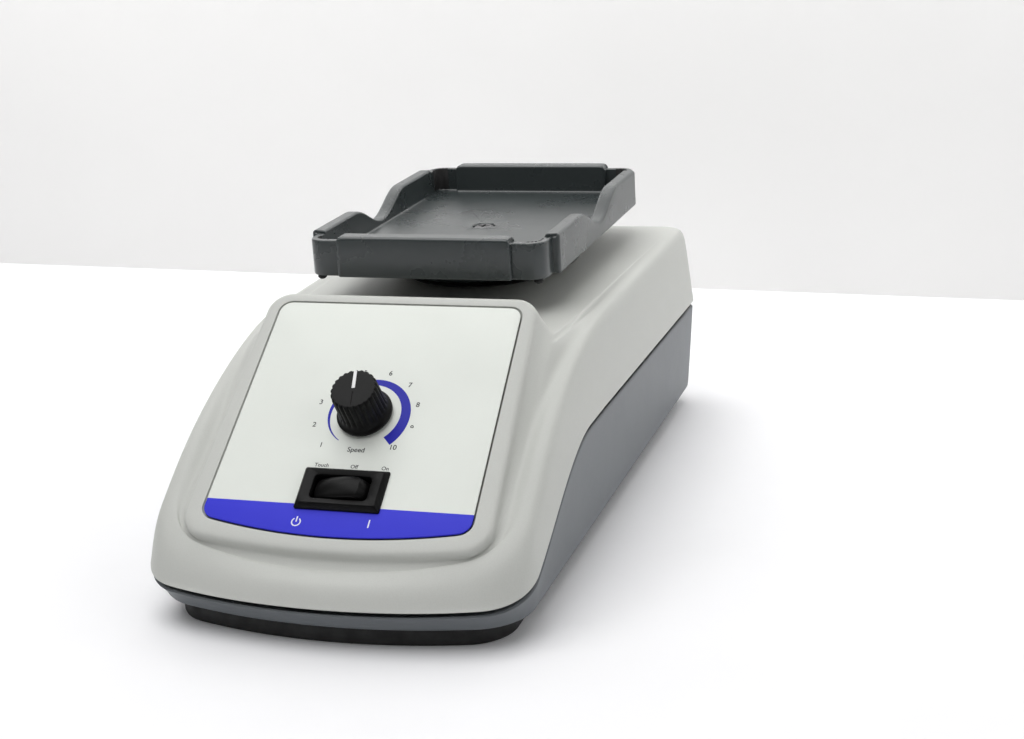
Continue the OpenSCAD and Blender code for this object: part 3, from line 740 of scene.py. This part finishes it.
# ---------------------------------------------------------------- knob
def make_knob():
    """Fluted knob on a plain skirt; its section is (radius, height, depth of the flutes)."""
    flutes, per_flute = 24, 12
    n = flutes * per_flute
    top = 15.0
    skirt = [(7.0, 1.0, 0), (9.4, 1.0, 0), (9.68, 1.2, 0), (9.7, 1.9, 0), (9.45, 2.25, 0), (9.0, 2.5, 0),
             (8.6, 3.2, 0)]
    grip = [(8.4, 4.0, 0.15), (8.3, 4.6, 0.5), (8.2, 8.0, 0.55), (8.1, top - 1.1, 0.6), (8.0, top - 0.6, 0.6)]
    crown = [(7.8, top - 0.2, 0.5), (7.55, top - 0.03, 0.3), (7.1, top, 0), (4.0, top - 0.03, 0),
             (0.4, top - 0.05, 0)]
    rings = []
    for r, h, depth in skirt + grip + crown:
        ring = []
        for j in range(n):
            a = math.tau * j / n
            groove = depth * (0.5 - 0.5 * math.cos(flutes * a + math.pi)) ** 1.6
            ring.append(((r - groove) * math.cos(a), DIAL_S + (r - groove) * math.sin(a), h))
        rings.append(on_panel(ring))
    turns = [math.tau * j / n for j in range(n)]
    inner = [on_panel([(r * math.cos(a), DIAL_S + r * math.sin(a), h) for a in turns])
             for r, h in ((3.05, 10.1), (3.05, 4.0), (7.0, 3.4))]
    points, faces = loft(rings[::-1] + inner[::-1])

    def along_pointer(shape, distance):
        """A shape moved out along the pointer, which stands turned to the left."""
        turn = Matrix.Rotation(math.radians(POINTER_TURN), 3, "Z")
        place = Vector((0, DIAL_S, top))
        return on_panel([place + turn @ (Vector(q) + Vector((0, distance, 0))) for q in shape[0]]), shape[1]

    seat = along_pointer(block(1.25, 7.9, -0.45, 0.6, 0.2, 0.05), 4.4)
    groove = along_pointer(block(0.45, 5.5, -0.3, 0.6, 0.1, 0.05), -4.0)
    add_piece("fluted_knob", points, faces, "black_plastic", "knob", ["speed_knob"], crease=32,
              cuts=[seat, groove])
    inlay = along_pointer(block(1.15, 7.2, -0.4, 0.0, 0.15, 0.05), 3.9)
    add_piece("pointer_inlay", *inlay, "white_plastic", "knob", ["knob_pointer"])


# ---------------------------------------------------------------- rocker switch
def make_switch():
    w, l, top = 30, 16, 2.4

    def frame_ring(width, length, radius, h):
        ring = [(u, s + SWITCH_S, h) for u, s in rounded_rect(width, length, radius)]
        return on_panel(ring)

    bezel = [(w, l, 0.6, 0), (w, l, 0.6, 0.5), (w - 0.3, l - 0.3, 0.6, 0.8),
             (w - 2.4, l - 2.4, 0.8, top - 0.15), (w - 3.0, l - 3.0, 0.8, top), (21.0, 10.0, 1.6, top - 0.25),
             (20.4, 9.4, 1.5, top - 0.4), (20.0, 9.0, 1.4, top - 0.9), (19.8, 8.8, 1.3, 0.5)]
    case = [(22.0, 8.8, 0.6, -1), (22.6, 8.8, 0.4, -12.2), (26.6, 12.4, 0.4, -12.2), (27, 12.8, 0.6, -1.5),
            (27, 12.8, 0.6, 0)]
    points, faces = loft([frame_ring(*ring) for ring in bezel + case], "loop")
    floor = moved(block(27, 12.8, -20, -12.1, 0.5, 0.3), (0, SWITCH_S, 0))
    tabs = [moved(block(0.8, 6.3, -27, -19.9, 0.1, 0.1), (u, SWITCH_S, 0)) for u in (-8, 0, 8)]
    points, faces = join((points, faces), lifted(floor), *map(lifted, tabs))
    add_piece("switch_frame", points, faces, "black_plastic", "housing", ["switch_housing"], crease=30)
    make_rocker()


def make_rocker():
    """Crowned rocker, bowed along its long edges, whose ends are arcs about its pivot; its left end is down."""
    r, width, corner, crown, tilt = 10.7, 7.4, 39.4, 1.5, 11
    edge_x, edge_z = r * math.cos(math.radians(corner)), r * math.sin(math.radians(corner))

    def end(first, last):
        return [(r * math.cos(t), r * math.sin(t)) for t in np.radians(np.linspace(first, last, 12))]

    top = [(x, edge_z + crown * (1 - (x / edge_x) ** 2)) for x in np.linspace(edge_x, -edge_x, 26)[1:-1]]
    section = [Vector(p) for p in end(-8, corner) + top + end(180 - corner, 188)]
    middle = Vector((0, 3.0))
    turn = Matrix.Rotation(math.radians(tilt), 2)
    rings = []
    for angle in range(0, 181, 12):
        side = -math.cos(math.radians(angle))
        inset = 1.9 * (1 - math.sin(math.radians(angle)))
        ring = []
        for p in section:
            q = turn @ (p + (middle - p).normalized() * inset)
            half = width / 2 + 0.45 * (1 - (p.x / r) ** 2)
            ring.append((q.x, SWITCH_S + side * half, q.y + ROCKER_H))
        rings.append(on_panel(ring))
    points, faces = loft(rings)
    add_piece("rocker_cap", points, faces, "black_plastic", "rocker", ["switch_rocker"], crease=30)


# ---------------------------------------------------------------- tray
TRAY_A = (tray_hi.x - tray_lo.x) / 2
TRAY_B = (tray_hi.y - tray_lo.y) / 2
TRAY_BOTTOM = tray_lo.z
TRAY_FLOOR = TRAY_BOTTOM + 3.8
PANEL_TOP = tray_hi.z
TRAY_RIM = PANEL_TOP - 1.8
TRAY_WALL = 2.8
CORNER_X, CORNER_Y, CORNER_R = TRAY_A - 2.6, TRAY_B - 1.8, 6.0
SIDE_HALF = CORNER_Y - 11  # half the length of the dipped side walls
SIDE_UP = 1.1  # which stand this much above the corners
END_HALF = 33.7  # half the width of the raised end panels
END_THICK = 7.0
EDGE = 0.6  # rounding of the plain rim


def tray_quarter():
    """Stations round a quarter of the tray: outer point and its normal, inner point and its normal, rim height
    and rounding."""
    a, inner_a, inner_b = TRAY_A, CORNER_X - TRAY_WALL, CORNER_Y - TRAY_WALL
    inner_r = CORNER_R - TRAY_WALL
    side_top, low = TRAY_RIM + SIDE_UP, TRAY_FLOOR + 2.2
    out = []

    def put(outer, outer_n, inner, inner_n, rim, rounding):
        out.append((*outer, *outer_n, *inner, *inner_n, rim, rounding))

    for y in np.linspace(0, SIDE_HALF - 1.7, 60):
        rim = low + (side_top - low) * (1 - math.cos(math.pi * min(y / 27.5, 1))) / 2
        put((a, y), (1, 0), (inner_a, y), (1, 0), rim, 1.3)
    for t in range(0, 91, 15):
        c, sn = math.cos(math.radians(t)), math.sin(math.radians(t))
        y = SIDE_HALF - 1.2 + 1.2 * sn
        put((a - 1.2 + 1.2 * c, y), (c, sn), (inner_a, y), (1, 0), side_top - (1 - c) ** 2, 1.3 - 0.3 * sn)
    put((CORNER_X + 0.3, SIDE_HALF), (0, 1), (inner_a, SIDE_HALF + 0.03), (1, 0), side_top - 1.1, 0.9)
    put((CORNER_X + 0.02, SIDE_HALF + 0.08), (0.7, 0.7), (inner_a, SIDE_HALF + 0.1), (1, 0), TRAY_RIM, EDGE)
    for y in (SIDE_HALF + 0.5, SIDE_HALF + 1.5, SIDE_HALF + 3.2):
        put((CORNER_X, y), (1, 0), (inner_a, y), (1, 0), TRAY_RIM, EDGE)
    x0, y0 = CORNER_X - CORNER_R, CORNER_Y - CORNER_R
    for t in np.linspace(0, 90, 26):
        c, sn = math.cos(math.radians(t)), math.sin(math.radians(t))
        put((x0 + CORNER_R * c, y0 + CORNER_R * sn), (c, sn), (x0 + inner_r * c, y0 + inner_r * sn), (c, sn),
            TRAY_RIM, EDGE)
    for x in (END_HALF + 3, END_HALF + 1.4):
        put((x, CORNER_Y), (0, 1), (x, inner_b), (0, 1), TRAY_RIM, EDGE)
    e, face, inside = END_HALF, TRAY_B, TRAY_B - END_THICK
    put((e + 0.04, CORNER_Y + 0.02), (0.7, 0.7), (e + 0.04, inner_b - 0.02), (-1, 1), TRAY_RIM, EDGE)
    put((e, CORNER_Y + 0.5), (1, 0), (e, inner_b - 1.3), (-1, 0), PANEL_TOP - 1.9, 0.7)
    put((e - 0.08, face - 0.7), (0.92, 0.38), (e - 0.06, inside + 0.8), (-0.92, 0.38), PANEL_TOP - 1.3, 0.9)
    put((e - 0.4, face - 0.22), (0.6, 0.8), (e - 0.35, inside + 0.25), (-0.6, 0.8), PANEL_TOP - 0.8, 1.1)
    put((e - 0.95, face), (0.1, 1), (e - 0.9, inside), (-0.1, 1), PANEL_TOP - 0.4, 1.3)
    put((e - 1.7, face), (0, 1), (e - 1.7, inside), (0, 1), PANEL_TOP - 0.1, 1.3)
    put((e - 2.5, face), (0, 1), (e - 2.5, inside), (0, 1), PANEL_TOP, 1.3)
    for x in np.linspace(e - 4.5, 0, 24):
        put((x, face), (0, 1), (x, inside), (0, 1), PANEL_TOP, 1.3)
    return out


def mirrored_quarters(quarter):
    """All four quarters of a closed outline, from the quarter that runs from +X to +Y."""
    across = np.array([-1, 1, -1, 1, -1, 1, -1, 1, 1, 1])
    back = np.array([1, -1, 1, -1, 1, -1, 1, -1, 1, 1])
    quarter = np.array(quarter)
    half = np.vstack([quarter, quarter[-2::-1] * across])
    return np.vstack([half, half[-2:0:-1] * back])


def make_tray():
    stations = mirrored_quarters(tray_quarter())
    outer, outer_n, inner, inner_n = (stations[:, i:i + 2] for i in (0, 2, 4, 6))
    rim, rounding = stations[:, 8], stations[:, 9]
    angles = np.arctan2(inner[:, 1], inner[:, 0])

    def ring(line, normal, offset, z):
        xy = line + normal * (np.ones(len(line)) * offset)[:, None]
        return np.column_stack([xy[:, 0], xy[:, 1] + HEAD_Y, np.broadcast_to(z, len(xy))])

    def circle(r, z):
        return np.column_stack([r * np.cos(angles), HEAD_Y + r * np.sin(angles), np.full(len(angles), z)])

    def between(a, b, count):
        return [a * (1 - t) + b * t for t in np.linspace(0, 1, count + 2)[1:-1]]

    bottom, floor = TRAY_BOTTOM, TRAY_FLOOR
    under_edge = ring(outer, outer_n, -0.7, bottom)
    rings = [circle(2.6, bottom), circle(5.5, bottom), *between(circle(5.5, bottom), under_edge, 5),
             under_edge, ring(outer, outer_n, -0.25, bottom + 0.08), ring(outer, outer_n, -0.04, bottom + 0.35),
             ring(outer, outer_n, 0, bottom + 0.8), ring(outer, outer_n, 0, (bottom + rim) / 2)]
    for t in (0, 20, 40, 60, 80, 90):
        c, sn = math.cos(math.radians(t)), math.sin(math.radians(t))
        rings.append(ring(outer, outer_n, -rounding * (1 - c), rim - rounding * (1 - sn)))
    for t in (90, 80, 60, 40, 20, 0):
        c, sn = math.cos(math.radians(t)), math.sin(math.radians(t))
        rings.append(ring(inner, inner_n, rounding * (1 - c) * 0.8, rim - rounding * (1 - sn) * 0.8))
    rings.append(ring(inner, inner_n, 0, np.minimum(floor + 1.2, rim - 1.06)))
    for inset, lift in ((0.1, 0.6), (0.35, 0.22), (0.75, 0.04), (1.2, 0.0)):
        rings.append(ring(inner, inner_n, -inset, floor + lift))
    well = circle(5.4, floor)
    rings += [*between(rings[-1], well, 8), well, circle(4.9, floor - 0.05), circle(4.5, floor - 0.4),
              circle(4.4, floor - 1.5), circle(4.3, floor - 1.6), circle(2.6, floor - 1.6)]
    points, faces = loft(rings, "loop")
    add_piece("plate_tray", points, faces, "tray", "head", ["microplate_tray"], crease=34)


def make_tray_screw():
    top = TRAY_FLOOR - 0.2
    z0 = TRAY_BOTTOM - 8
    section = fillet([(0.01, z0), (2.2, z0), (2.5, z0 + 0.5), (2.5, top - 1.4), (4.0, top - 1.4),
                      (4.0, top - 0.5), (3.2, top), (0.01, top)], [0, 0.1, 0.1, 0, 0.1, 0.3, 0.5, 0])
    cross = [moved(block(w, l, -0.7, 0.6, 0.1, 0.05), (0, HEAD_Y, top)) for w, l in ((0.9, 4.6), (4.6, 0.9))]
    points, faces = revolve(section, (0, HEAD_Y), 64)
    # Painted shade: the screw head's steel is darkened to stand for the shade inside the hole it sits in.
    recess_shade_steel = metal("steel_darkened_as_recess_shade", (0.16, 0.16, 0.165), 0.3)
    add_piece("tray_screw_head", points, faces, "steel", "head", ["tray_screw"], cuts=cross, finish=recess_shade_steel)


def make_pegs():
    """Rubber buffers under the tray's corners, each with a ball end, and a soft strip inside each corner."""
    parts = []
    x0, y0, z0 = CORNER_X - 3.6, CORNER_Y - 3.6, TRAY_BOTTOM
    stem = [(0.01, z0 - 2.0), (0.9, z0 - 1.9), (1.6, z0 - 1.3), (1.7, z0 - 0.7), (1.3, z0 - 0.1),
            (1.4, z0 + 0.3), (1.4, z0 + 2.9), (0.01, z0 + 2.9)]
    for sx in (-1, 1):
        for sy in (-1, 1):
            parts.append(revolve(fillet(stem, 0.4, 3), (sx * x0, HEAD_Y + sy * y0), 24))
            parts.append(corner_strip(sx, sy))
    points, faces = join(*parts)
    add_piece("corner_buffers", points, faces, "rubber", "head", ["tray_pegs"])


def corner_strip(sx, sy):
    """Curved rubber strip let into the inside of one corner, its top edge a little uneven."""
    w, l, r = CORNER_X - TRAY_WALL, CORNER_Y - TRAY_WALL, CORNER_R - TRAY_WALL
    path = [(w, y, 1, 0) for y in (l - 5, l - 4.4, l - 3.8)]
    path += [(w - r + r * math.cos(a), l - r + r * math.sin(a), math.cos(a), math.sin(a))
             for a in np.radians(np.linspace(0, 90, 14))]
    path += [(x, l, 0, 1) for x in (w - 3.8, w - 4.4, w - 5)]
    rings = []
    for i, (x, y, nx, ny) in enumerate(path):
        top = TRAY_RIM + 0.05 + 0.12 * math.sin(1.9 * i + 2 * sx + sy)
        proud = -0.12 - 0.1 * math.sin(1.3 * i + sx)
        section = [(0.75, TRAY_FLOOR + 0.2), (proud, TRAY_FLOOR + 0.2), (proud, top - 0.3),
                   (proud + 0.2, top), (0.55, top), (0.75, top - 0.3)]
        rings.append([(sx * (x + nx * d), HEAD_Y + sy * (y + ny * d), z) for d, z in section])
    return loft(rings)


# ---------------------------------------------------------------- head, boot, feet and inlet
def make_head():
    top = TRAY_BOTTOM
    section = [(0.01, 82.3), (6, 82.3), (6, 79.3), (11, 79.3), (11, 72.3), (14, 72.3), (14, 81), (38, 81),
               (38, top), (2.5, top), (2.5, top - 8.2), (0.01, top - 8.2)]
    radii = [0, 0, 0, 0.2, 0.3, 0.5, 1.5, 1.6, 0.6, 0.2, 0, 0]
    points, faces = revolve(fillet(section, radii), (0, HEAD_Y), 144)
    add_piece("head_disc", points, faces, "tray", "head", ["head_spindle"])


def make_boot():
    """Flat rippled boot: a flange on the deck, three ripples and a lip round the neck."""
    top = DECK_Z + 1.05
    section = [(17.4, top - 0.3), (18.0, top), (19.2, top)]
    section += [(19.2 + 7.2 * t, top - 0.75 + 0.7 * math.cos(math.tau * 3 * t))
                for t in np.linspace(0.04, 1, 40)]
    section += [(27.4, top), (29.4, top), (30.0, top - 0.5), (30.0, DECK_Z), (26.7, DECK_Z),
                (26.7, DECK_Z - 4), (25.2, DECK_Z - 4), (25.0, DECK_Z - 1.9), (17.4, DECK_Z - 1.9)]
    points, faces = revolve(section, (0, MOTOR_Y), 120)
    add_piece("ripple_boot", points, faces, "rubber", "housing", ["neck_boot"])


def make_feet():
    """A curved strip foot that follows the nose, and two round feet at the rear."""
    outer = half_outline(59, 59, -HALF_LEN + 6.6, 0, 16, 9, 6.6, -80)
    inner = half_outline(46, 46, -HALF_LEN + 6.6, 0, 12, 9, 4.6, -80)
    back = front_foot_hi.y
    count = 60

    def trimmed(half, lift):
        line = [(x, y + lift) for x, y in half]
        line = [p for p in line if p[1] <= back + 0.01]
        length = np.concatenate([[0], np.cumsum([math.dist(a, b) for a, b in zip(line, line[1:])])])
        at = np.linspace(0, length[-1], count)
        return np.column_stack([np.interp(at, length, [p[k] for p in line]) for k in (0, 1)])

    out_line, in_line = trimmed(outer, 0), trimmed(inner, 13)
    rings = []
    e, top = 0.9, FLOOR_Z + 0.2
    for o, i in list(zip(out_line * (-1, 1), in_line * (-1, 1)))[::-1] + list(zip(out_line, in_line))[1:]:
        across = (i - o) / np.linalg.norm(i - o)
        rings.append([(*(o + across * e), 0), (*(o + across * 0.3), 0.3), (*o, 1.0), (*o, top),
                      (*i, top), (*i, 1.0), (*(i - across * 0.3), 0.3), (*(i - across * e), 0)])
    points, faces = loft(rings)
    add_piece("front_strip_foot", points, faces, "rubber", "housing", ["front_foot"], crease=40)
    r = (rear_foot_hi.y - rear_foot_lo.y) / 2
    y = (rear_foot_hi.y + rear_foot_lo.y) / 2
    x = rear_foot_hi.x - r
    section = fillet([(0.01, 0), (r - 1.6, 0), (r, 1.8), (r, top), (0.01, top)], [0, 0.8, 1.0, 0, 0])
    points, faces = join(*[revolve(section, (side * x, y), 64) for side in (-1, 1)])
    add_piece("round_feet", points, faces, "rubber", "housing", ["rear_feet"])


def make_inlet():
    """Mains inlet: a flange with two screws, round an open socket."""
    mid_z = (inlet_lo.z + inlet_hi.z) / 2
    face = inlet_hi.y

    def ring(w, l, r, depth):
        return [(x, face - depth, mid_z + z) for x, z in rounded_rect(w, l, r)]

    rings = [ring(50, 23, 4, 2.2), ring(50, 23, 4, 0.5), ring(49.6, 22.6, 3.8, 0.12), ring(49, 22, 3.5, 0),
             ring(26.4, 19.0, 2.2, 0), ring(25.8, 18.4, 2.2, 0.4), ring(24.6, 17.2, 1.8, 0.5),
             ring(24, 16.6, 1.6, 0.9), ring(24, 16.6, 1.6, 15.8), ring(1, 1, 0.3, 16), ring(1, 1, 0.3, 23),
             ring(28.6, 21, 1, 23), ring(28.6, 21, 1, 2.2)]
    points, faces = loft(rings, "loop")
    screw_x = (-20, 20)
    holes = [on_inlet(cylinder(0, 0, -6, 3, 1.55, 32), x) for x in screw_x]
    add_piece("inlet_socket", points, faces, "black_plastic", "housing", ["power_inlet"], cuts=holes)
    section = fillet([(0.01, -10), (1.5, -10), (1.5, 0), (2.6, 0), (2.4, 0.55), (1.4, 0.8), (0.01, 0.8)],
                     [0, 0.2, 0, 0.1, 0.4, 0.4, 0])
    points, faces = join(*[on_inlet(revolve(section, n=48), x) for x in screw_x])
    slots = [on_inlet(block(w, l, 0.25, 2, 0.1, 0.05), x) for x in screw_x for w, l in ((0.6, 3.0), (3.0, 0.6))]
    add_piece("inlet_screw_pair", points, faces, "steel", "housing", ["inlet_screws"], cuts=slots)


# ---------------------------------------------------------------- inner CAD nodes
def finish_inner_nodes():
    """Gives every CAD node that still shows its material."""
    for part in frame["record"]["subparts"]:
        node = frame["nodes"][part["node"]]
        if node.hide_render:
            continue
        node.data.materials.clear()
        node.data.materials.append(MATERIALS[part["material_slot"]])


# ---------------------------------------------------------------- stage and light
def stage_surface(name, corners, colour, roughness, marks):
    mesh = bpy.data.meshes.new(name)
    mesh.from_pydata(corners, [], [(0, 1, 2, 3)])
    obj = bpy.data.objects.new(name, mesh)
    scene.collection.objects.link(obj)
    n = Nodes(name)
    n.link(n.mix(n.ramp(n.noise(marks, 3), 0, 1), shade(colour, 0.985), colour), n.shader.inputs["Base Color"])
    n.shader.inputs["Roughness"].default_value = roughness
    n.shader.inputs["Specular IOR Level"].default_value = 0.2
    obj.data.materials.append(n.material)
    return n.material


def show_front_only(material):
    """Makes a surface clear from its back, so that it doesn't hide the object in a view from behind."""
    tree = material.node_tree
    output = next(node for node in tree.nodes if node.type == "OUTPUT_MATERIAL")
    mix = tree.nodes.new("ShaderNodeMixShader")
    tree.links.new(tree.nodes.new("ShaderNodeNewGeometry").outputs["Backfacing"], mix.inputs[0])
    tree.links.new(output.inputs["Surface"].links[0].from_socket, mix.inputs[1])
    tree.links.new(tree.nodes.new("ShaderNodeBsdfTransparent").outputs[0], mix.inputs[2])
    tree.links.new(mix.outputs[0], output.inputs["Surface"])


def make_stage():
    size, height = 4.0, 3.0

    def foot(x):
        """Where the backdrop, which stands a little askew, meets the floor."""
        return (x, 0.319 - 0.051 * x)

    left, right = foot(-size), foot(size)
    stage_surface("floor", [(-size, -size, 0), (size, -size, 0), (size, size, 0), (-size, size, 0)],
                  (0.93, 0.93, 0.945), 0.6, 60)
    show_front_only(stage_surface("backdrop", [(*left, 0), (*right, 0), (*right, height), (*left, height)],
                                  (0.92, 0.915, 0.905), 0.9, 120))


def area_light(name, place, aim, size, power):
    light = bpy.data.lights.new(name, "AREA")
    light.shape = "RECTANGLE"
    light.size, light.size_y = size
    light.energy = power
    obj = bpy.data.objects.new(name, light)
    scene.collection.objects.link(obj)
    obj.location = place
    obj.rotation_mode = "QUATERNION"
    obj.rotation_quaternion = (Vector(aim) - Vector(place)).to_track_quat("-Z", "Y")


def make_light():
    world = bpy.data.worlds.new("studio")
    world.use_nodes = True
    background = world.node_tree.nodes["Background"]
    background.inputs["Color"].default_value = (1.0, 1.0, 1.0, 1)
    background.inputs["Strength"].default_value = 0.08
    scene.world = world
    centre = (0, 0, 0.05)
    area_light("overhead", (-0.2, -0.15, 1.25), centre, (1.4, 1.0), 12.8)
    area_light("left_front", (-1.0, -0.9, 1.0), centre, (0.9, 0.9), 3.2)
    area_light("right_side", (1.2, -0.4, 0.8), (0, 0.0, 0.06), (0.8, 0.6), 2.6)
    area_light("rear_glow", (-0.1, 0.29, 0.37), (-0.1, -0.6, 0.3), (1.3, 0.34), 0.55)
    area_light("wall_wash", (0.2, 0.13, 0.45), (0.2, 0.35, 0.37), (1.8, 0.15), 1.9)
    scene.view_settings.view_transform = "Standard"
    scene.view_settings.look = "None"


make_cover()
make_base()
make_label()
make_printing()
make_knob()
make_switch()
make_tray()
make_tray_screw()
make_pegs()
make_head()
make_boot()
make_feet()
make_inlet()
finish_inner_nodes()
make_stage()
make_light()
